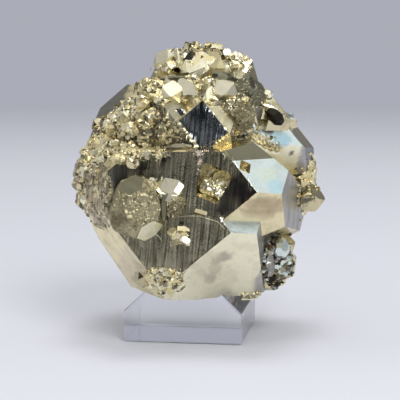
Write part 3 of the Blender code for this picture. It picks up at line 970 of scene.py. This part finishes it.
# Each spot: where it is seen, its spread in mm across and up, the number of grains.
crusts = {
    "crustLeft": {
        "seed": 3, "size": (0.4, 1.3), "sink": 0.30, "tones": grainTones,
        "spots": [((125, 123), (5.2, 4.4), 60), ((140, 96), (5.2, 3.4), 36), ((106, 146), (4.0, 3.0), 30)]},
    "crustTop": {
        "seed": 5, "size": (0.4, 1.5), "sink": 0.30, "tones": grainTones,
        "spots": [((200, 52), (8.0, 2.6), 44), ((232, 62), (3.0, 3.4), 24), ((203, 90), (1.4, 1.8), 16),
                  ((168, 58), (2.2, 2.6), 20)]},
    "crustFront": {
        "seed": 7, "size": (0.14, 0.6), "sink": 0.25, "tones": grainTones,
        "spots": [((217, 181), (2.6, 2.8), 50), ((140, 150), (5.0, 1.0), 70), ((163, 283), (3.4, 2.0), 60),
                  ((181, 236), (1.6, 1.2), 26), ((247, 134), (3.0, 1.2), 40)]},
    # grains that are painted highlights, pinkish white
    "crustRosyHighlights": {
        "seed": 8, "size": (0.16, 0.5), "sink": 0.2, "tones": rosyHighlightTones,
        "spots": [((199, 153), (1.4, 0.5), 40), ((200, 165), (0.5, 1.6), 26), ((154, 180), (0.7, 0.3), 12)]},
    "crustRight": {
        "seed": 9, "size": (0.16, 0.7), "sink": 0.25, "tones": grainTones,
        "spots": [((276, 268), (2.2, 4.0), 60), ((236, 104), (2.6, 2.2), 30), ((268, 140), (2.4, 1.0), 30)]},
}

# The same on the faces turned away: a start in mm, the spread, the direction, the number of grains.
hiddenCrust = {
    "seed": 12, "size": (0.25, 1.3), "sink": 0.3, "tones": grainTones,
    "spots": [
        ((0.0, 60.0, 34.0), (12.0, 0.0, 10.0), (0, -1, 0), 175),
        ((2.0, 4.0, 90.0), (7.5, 5.0, 0.0), (0, 0, -1), 125),
        ((60.0, 2.0, 30.0), (0.0, 6.0, 6.0), (-1, 0, 0), 65),
        ((-60.0, 4.0, 34.0), (0.0, 6.0, 7.0), (1, 0, 0), 65),
    ]}


def grainTemplate():
    bm = bmesh.new()
    bmesh.ops.create_cube(bm, size=1)
    bmesh.ops.bevel(
        bm, geom=bm.verts[:], offset=crustGrains["cut"], segments=1, profile=0.5, affect="VERTICES",
        material=-1)
    mesh = bpy.data.meshes.new("grain")
    bm.to_mesh(mesh)
    bm.free()
    return mesh


def dropGrain(bm, template, chance, crust, landed, normal):
    low, high = crust["size"]
    size = low * (high / low) ** (chance.random() ** crustGrains["smaller"]) * mm
    if chance.random() < crustGrains["leaning"]:
        lean = math.radians(crustGrains["turn"])
        turn = axes.to_4x4() @ Matrix.Rotation(chance.gauss(0, lean), 4, "X") @ Matrix.Rotation(
            chance.gauss(0, lean), 4, "Z")
    else:
        turn = Matrix.Rotation(chance.uniform(0, 2 * math.pi), 4, Vector(
            chance.gauss(0, 1) for _ in range(3)).normalized())
    shape = Matrix.Diagonal((*(size * chance.uniform(*crustGrains["flat"]) for _ in range(3)), 1))
    lift = normal * size * (0.5 - crust["sink"]) * chance.uniform(0, 1)
    grain = template.copy()
    grain.transform(Matrix.Translation(landed + lift) @ turn @ shape)
    bm.from_mesh(grain)
    bpy.data.meshes.remove(grain)


def seenPlaces(crust, chance):
    # where the grains of the visible spots land, one after the other
    for (across, down), spread, count in crust["spots"]:
        middle, _ = seenAt(plainSurface, across, down)
        scale = (middle - cameraHolder.location).length / (
            cameraPlace["lens"] / cameraPlace["sensor"] * cameraPlace["frameWidth"])
        for _ in range(count):
            moved = [chance.gauss(0, 0.5) * part * mm / scale for part in spread]
            landed, normal = seenAt(plainSurface, across + moved[0], down + moved[1])
            if landed is not None and (
                    landed - middle).length < crustGrains["strayed"] * max(spread) * mm:
                yield landed, normal


def hiddenPlaces(crust, chance):
    for middle, spread, direction, count in crust["spots"]:
        for _ in range(count):
            start = Vector(m + s * chance.gauss(0, 0.5) for m, s in zip(middle, spread)) * mm
            landed, normal, _, _ = plainSurface.ray_cast(start, Vector(direction))
            if landed is not None:
                yield landed, normal


def growCrust(name, crust, template, places):
    bm = bmesh.new()
    chance = random.Random(crust["seed"])
    for landed, normal in places(crust, chance):
        dropGrain(bm, template, chance, crust, landed, normal)
    bm.faces.ensure_lookup_table()
    faceCount = len(template.polygons)
    tones, weights = zip(*crust["tones"])
    for first in range(0, len(bm.faces), faceCount):
        tone = Vector(chance.choices(tones, weights)[0]) * chance.uniform(*crustGrains["shade"])
        paintLoops(bm, bm.faces[first:first + faceCount], tone, finishesAndPaintedLight["gold"])
    made = finishPiece(name, bm, smooth=False)
    print(f"{name}: {len(made.data.polygons)} faces")


grainMesh = grainTemplate()
for name, crust in crusts.items():
    growCrust(name, crust, grainMesh, seenPlaces)
growCrust("crustBehind", hiddenCrust, grainMesh, hiddenPlaces)
bpy.data.meshes.remove(grainMesh)


def clearPaint():
    paint = Paint(bpy.data.materials.new("clearAcrylic"))
    place = paint.node("ShaderNodeTexCoord", out="Object")
    smudges = paint.ease(paint.noise(place, 140.0, 4.0), 0.45, 0.75)
    shader = paint.node("ShaderNodeBsdfPrincipled", None, {
        "Base Color": (0.90, 0.905, 0.94, 1), "Metallic": 0.0, "Roughness": 0.12 + smudges * 0.06,
        "IOR": 1.49, "Transmission Weight": 1.0}, "BSDF")
    return paint.finish(shader)


stand = frame["nodes"]["acrylic_stand"]
stand.data.materials.clear()
stand.data.materials.append(clearPaint())


stageLook = {
    "floorRadius": 2.2,
    "floorDrop": 0.12 * mm,
    "floorColour": (0.80, 0.815, 0.885),
    "fadeFrom": 0.30,
    "fadeTo": 2.0,
    "backdrop": (0.40, 0.41, 0.47),
}

# Bright and dark areas of the room, as the polished faces reflect them: direction, where the area
# starts and is full (cosines), colour, strength.
roomAreas = [
    ((0.0, 0.25, 1.0), 0.60, 0.92, (1.0, 0.98, 0.93), 0.45),
    ((0.69, -0.05, 0.72), 0.86, 0.97, (0.90, 0.98, 1.0), 0.62),
    ((-0.6, 0.5, 0.6), 0.80, 0.97, (1.0, 0.96, 0.86), 0.30),
    ((-1.0, -0.05, 0.15), 0.86, 0.96, (1.0, 0.97, 0.90), 0.70),
]
roomDark = {"direction": (-0.38, -0.93, 0.0), "from": 0.50, "full": 0.90, "left": 0.06}
roomFill = (0.20, 0.205, 0.23)
# what matt surfaces receive from all round, and more from the left
roomAmbient = {"all": (0.40, 0.405, 0.42), "side": (0.80, 0.81, 0.84), "toward": (-0.85, -0.35, 0.40)}

lamps = [
    ("topSoftbox", (0.05, 0.10, 1.30), (0, 0, 0.03), 0.46, 3.8, (1.0, 0.99, 0.97)),
    ("frontSoftbox", (0.22, -0.54, 0.475), (0, 0, 0.03), 0.34, 2.3, (1.0, 0.99, 0.97)),
]


def buildFloor():
    bm = bmesh.new()
    bmesh.ops.create_circle(bm, cap_ends=True, segments=128, radius=stageLook["floorRadius"])
    bmesh.ops.translate(bm, verts=bm.verts[:], vec=(0, 0, -stageLook["floorDrop"]))
    floor = newObject("floor", bm)
    paint = Paint(bpy.data.materials.new("paleTable"))
    place = paint.node("ShaderNodeTexCoord", out="Object")
    reach = paint.node("ShaderNodeVectorMath", {"operation": "LENGTH"}, {0: place}, "Value")
    shown = paint.ease(reach, stageLook["fadeFrom"], stageLook["fadeTo"], 1.0, 0.0)
    shader = paint.node("ShaderNodeBsdfPrincipled", None, {
        "Base Color": (*stageLook["floorColour"], 1), "Roughness": 0.6, "Alpha": shown}, "BSDF")
    floor.data.materials.append(paint.finish(shader))
    floor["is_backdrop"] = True


def lightRoom():
    world = bpy.data.worlds.new("room")
    bpy.context.scene.world = world
    paint = Paint(world)
    direction = paint.node("ShaderNodeTexCoord", out="Generated")
    total = (*roomFill, 1)
    for toward, start, full, colour, strength in roomAreas:
        facing = paint.node("ShaderNodeVectorMath", {"operation": "DOT_PRODUCT"}, {
            0: direction, 1: Vector(toward).normalized()}, "Value")
        glow = paint.ease(facing, start, full)
        total = paint.blend(glow, total, (*(part * strength for part in colour), 1), "ADD")
    facing = paint.node("ShaderNodeVectorMath", {"operation": "DOT_PRODUCT"}, {
        0: direction, 1: Vector(roomDark["direction"]).normalized()}, "Value")
    keep = paint.ease(facing, roomDark["from"], roomDark["full"], 1.0, roomDark["left"])
    total = paint.node("ShaderNodeVectorMath", {"operation": "SCALE"}, {0: total, "Scale": keep})
    path = paint.node("ShaderNodeLightPath")
    seen = Flow(paint.tree, path.socket.node.outputs["Is Camera Ray"])
    through = Flow(paint.tree, path.socket.node.outputs["Is Transmission Ray"])
    matt = Flow(paint.tree, path.socket.node.outputs["Is Diffuse Ray"])
    facing = paint.node("ShaderNodeVectorMath", {"operation": "DOT_PRODUCT"}, {
        0: direction, 1: Vector(roomAmbient["toward"]).normalized()}, "Value")
    ambient = paint.blend(paint.ease(facing, 0.1, 1.0), (*roomAmbient["all"], 1), (*roomAmbient["side"], 1))
    lit = paint.blend(matt, total, ambient)
    shown = paint.blend(paint.node("ShaderNodeMath", {"operation": "MAXIMUM"}, {0: seen, 1: through}),
                        lit, (*stageLook["backdrop"], 1))
    background = paint.node("ShaderNodeBackground", None, {"Color": shown, "Strength": 1.0})
    end = paint.tree.nodes.new("ShaderNodeOutputWorld")
    paint.tree.links.new(background.socket, end.inputs["Surface"])
    for name, place, aim, size, power, colour in lamps:
        lamp = bpy.data.lights.new(name, "AREA")
        lamp.shape = "DISK"
        lamp.size = size
        lamp.energy = power
        lamp.color = colour
        holder = bpy.data.objects.new(name, lamp)
        bpy.context.scene.collection.objects.link(holder)
        holder.location = place
        holder.rotation_euler = (Vector(aim) - Vector(place)).to_track_quat("-Z", "Y").to_euler()


buildFloor()
lightRoom()
bpy.context.scene.view_settings.view_transform = "Standard"
print("floor, light and camera are set")

sizes = {"cad": cadBounds, "visual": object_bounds()}
sizes = {name: [[float(part) for part in corner] for corner in box] for name, box in sizes.items()}
